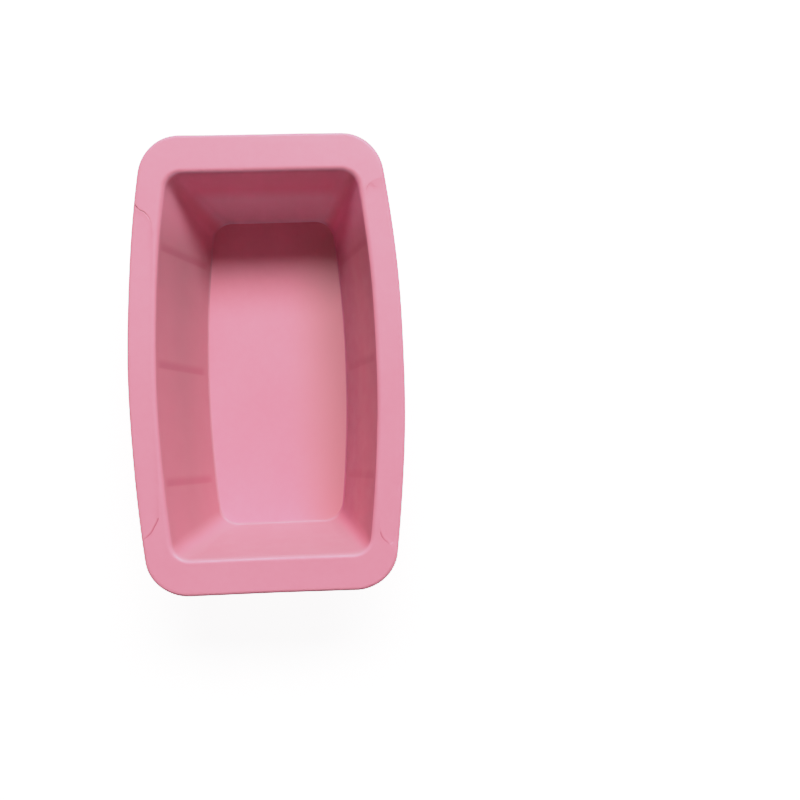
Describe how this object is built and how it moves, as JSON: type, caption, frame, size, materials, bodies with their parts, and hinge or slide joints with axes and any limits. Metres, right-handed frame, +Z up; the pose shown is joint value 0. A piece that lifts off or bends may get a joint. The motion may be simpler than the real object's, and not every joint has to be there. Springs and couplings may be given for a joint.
{
  "type": "soap loaf mould",
  "caption": "Flexible pink loaf mould with drafted walls, bowed long sides, a wide flat rim and gusset ribs underneath, for casting a block of soap.",
  "frame": {"origin": "centre of the mould on the plane it rests on", "axes": "+Z up out of the cavity's mouth, +Y along the length towards the end with the raised marks, +X to the right"},
  "size_m": [0.1486, 0.25, 0.065],
  "materials": {
    "silicone": "matte, slightly translucent pink silicone",
    "silicone_trim": "matte pink silicone, lightly textured"
  },
  "bodies": {
    "root": {"floor": "silicone", "side_walls": "silicone", "rim_flange": "silicone", "rim_bead": "silicone", "rib_left_front": "silicone", "rib_left_middle": "silicone", "rib_left_back": "silicone", "rib_right_front": "silicone", "rib_right_middle": "silicone", "rib_right_back": "silicone", "grip_panel_left": "silicone_trim", "grip_panel_right": "silicone_trim", "care_marks": "silicone_trim"}
  },
  "joints": []
}
